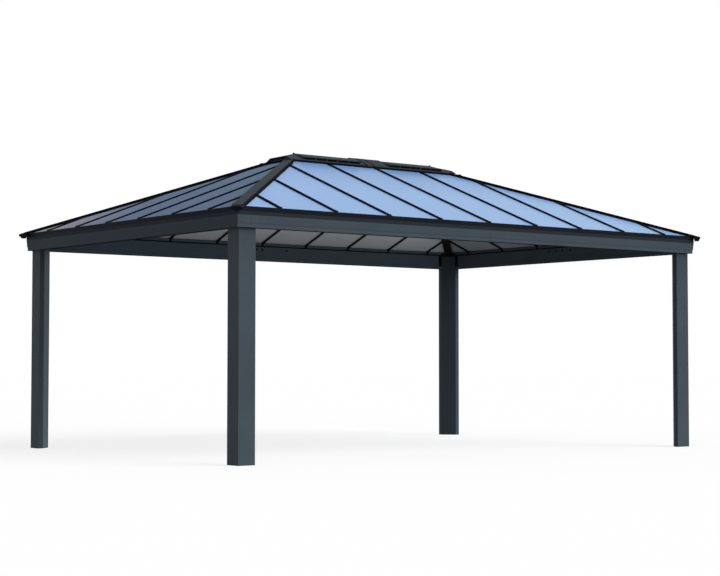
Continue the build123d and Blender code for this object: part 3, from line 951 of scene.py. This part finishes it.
def addHipTrims():
    start = hipSeal["start"]
    cornerIn = ventIn * math.sqrt(2)
    run = cornerIn - hipSeal["at"] - start
    seals = []
    for way in (-1, 1):
        near = hipSeal["at"]
        far = near + hipSeal["wide"]
        points = [(way * near, -hipSlope * near), (way * far, -hipSlope * far)]
        points.append((way * near, hipSeal["high"] - hipSlope * near))
        seals.append(outlineBar("hipSeal", hipOutline(points, start), (0, run, hipSlope * run)))
    roundCorners("hipSeals", seals, finishes["rubber"])
    # black collar over each hip cap at the vent's foot: painted shadow of the gap
    half = hipShadowCollar["half"]
    flat = hipShadowCollar["crownHalf"]
    points = [(half, hipShadowCollar["foot"]), (half, hipShadowCollar["shoulder"]), (flat, hipShadowCollar["crown"])]
    points += [(-x, z) for x, z in reversed(points)]
    outline = hipOutline(points, cornerIn - hipShadowCollar["back"] - hipShadowCollar["long"])
    push = (0, hipShadowCollar["long"], hipSlope * hipShadowCollar["long"])
    shadowCollar = outlineBar("hipShadowCollar", outline, push)
    roundCorners("hipShadowCollars", [shadowCollar], finishes["mould"])


addHipTrims()
print("hip seals and collars added")

# ridge vent: foam under the skirt that also paints the shadow gap, a black sheet behind the slots as
# painted shade, a joint strap with painted shadow lines, and end nubs

ventFoamShadowGap = {"in": -0.002, "thick": 0.010, "below": 0.003, "over": 0.003}
slotShadeSheet = {
    "behind": 0.011,
    "thick": 0.0015,
    "high": 0.028,
    "below": 0.003,
    "endGap": 0.006,
    "hoodIn": 0.058,           # vent's long side to the hood's shade sheet
}
ventStrap = {
    "middle": -0.060,
    "wide": 0.078,
    "proud": 0.002,
    "crownHalf": 0.006,
    "edgeShadowWide": 0.016,
    "edgeShadowProud": 0.0027,
    "footBelow": 0.001,
    "ridgeBelow": 0.0003,
}
hoodFairing = {
    "halfWide": 0.150,
    "spread": 0.074,
    "rise": 0.0255,
    "footRise": 0.004,
    "bandBelow": 0.001,
    "ridgeBelow": 0.008,
    "endReach": 0.005,         # the pushed end's centre is this near to the ridge
}
ridgeNub = {"radius": 0.011, "squash": 0.8, "in": 0.196, "below": 0.009, "smoothDegrees": 60}


def addVentFoamShadowGap():
    # black foam under the skirt, standing proud of it: a real closure that also paints the shadow gap
    near = ventIn + ventFoamShadowGap["in"]
    far = near + ventFoamShadowGap["thick"]
    low = roofZ(ventIn) - ventFoamShadowGap["below"]
    high = ventSeat + ventFoamShadowGap["over"]
    section = [(near, low), (far, low), (far, high), (near, high)]
    bySide = {}
    for side, (_, half, _) in sides.items():
        reach = half - near
        bySide[side] = [(sideBar("ventFoamShadowGap", section, -reach, reach), 0, 0, 0)]
    roundSides("ventFoamShadowGap", bySide, finishes["rubber"])


def addSlotShadeSheet():
    # solid black sheet behind the slots: painted shade inside the vent
    near = ventIn + slotShadeSheet["behind"]
    far = near + slotShadeSheet["thick"]
    low = ventSeat + ventBand - slotShadeSheet["below"]
    high = low + slotShadeSheet["high"]
    section = [(near, low), (far, low), (far, high), (near, high)]
    start = louvreLow.x + slotShadeSheet["endGap"]
    end = louvreHigh.x - slotShadeSheet["endGap"]
    halves = [(start, end), (-end, -start)]
    bars = [sideBar("slotShadeSheet", section, *ends) for ends in halves]
    bySide = {side: [(bar, 0, 0, 0) for bar in bars] for side in ("front", "back")}
    reach = middleHigh.y - slotShadeSheet["hoodIn"]
    hoodBar = sideBar("slotShadeSheet", section, -reach, reach)
    bySide["left"] = [(hoodBar, 0, 0, 0)]
    bySide["right"] = [(hoodBar, 0, 0, 0)]
    roundSides("slotShadeSheet", bySide, finishes["rubber"])


def strapSection(proud):
    side = middleHigh.y + proud
    eave = ventSeat + ventBand + proud
    ridge = middleHigh.z - ventStrap["ridgeBelow"]
    crown = ventStrap["crownHalf"]
    points = [(side, ventSeat - ventStrap["footBelow"]), (side, eave), (crown, ridge)]
    points += [(-y, z) for y, z in reversed(points)]
    return points


def addVentStrap():
    start = ventStrap["middle"] - ventStrap["wide"] / 2
    end = start + ventStrap["wide"]
    strap = sideBar("ventStrap", strapSection(ventStrap["proud"]), start, end)
    joined("ventStrap", [strap], finishes["cap"])
    # black lines along both edges of the strap: painted shadow
    edgeShadow = ventStrap["edgeShadowWide"]
    section = strapSection(ventStrap["edgeShadowProud"])
    lines = [sideBar("strapShadowLine", section, a, a + edgeShadow) for a in (start - edgeShadow, end)]
    joined("ventStrapShadowLines", lines, finishes["rubber"])


def addHoodFairings():
    near = hoodFairing["halfWide"]
    far = near + hoodFairing["spread"]
    band = ventSeat + ventBand
    low = band - hoodFairing["bandBelow"]
    high = band + hoodFairing["rise"]
    foot = ventSeat + hoodFairing["footRise"]
    ridgeEnd = Vector((ventHigh.x - middleHigh.y, 0, louvreHigh.z - hoodFairing["ridgeBelow"]))
    fairings = []
    for way in (-1, 1):
        outline = [(ventHigh.x, way * y, z) for y, z in ((near, low), (far, foot), (near, high))]
        centre = sum((Vector(p) for p in outline), Vector()) / 3
        fairing = outlineBar("hoodFairing", outline, ridgeEnd - centre)
        pickFaces(fairing, lambda face: (face.center - ridgeEnd).length < hoodFairing["endReach"])
        bpy.ops.mesh.merge(type="CENTER")
        bpy.ops.mesh.select_all(action="SELECT")
        bpy.ops.mesh.normals_make_consistent(inside=False)
        bpy.ops.object.mode_set(mode="OBJECT")
        fairings.append(fairing)
    copies = [copyOf(fairing, turnDegrees=180) for fairing in fairings]
    joined("hoodFairings", fairings + copies, finishes["cap"])


def addRidgeNubs():
    nubs = []
    for way in (-1, 1):
        clearSelection()
        bpy.ops.mesh.primitive_uv_sphere_add(
            segments=20, ring_count=10, radius=ridgeNub["radius"],
            location=(way * (ventHigh.x - ridgeNub["in"]), 0, middleHigh.z - ridgeNub["below"]))
        nub = bpy.context.object
        nub.scale = (1.0, 1.0, ridgeNub["squash"])
        bpy.ops.object.transform_apply(location=True, rotation=True, scale=True)
        bpy.ops.object.shade_smooth_by_angle(angle=math.radians(ridgeNub["smoothDegrees"]))
        nubs.append(nub)
    joined("ridgeNubs", nubs, finishes["mould"])


addVentFoamShadowGap()
addSlotShadeSheet()
addVentStrap()
addHoodFairings()
addRidgeNubs()
print("vent details added")
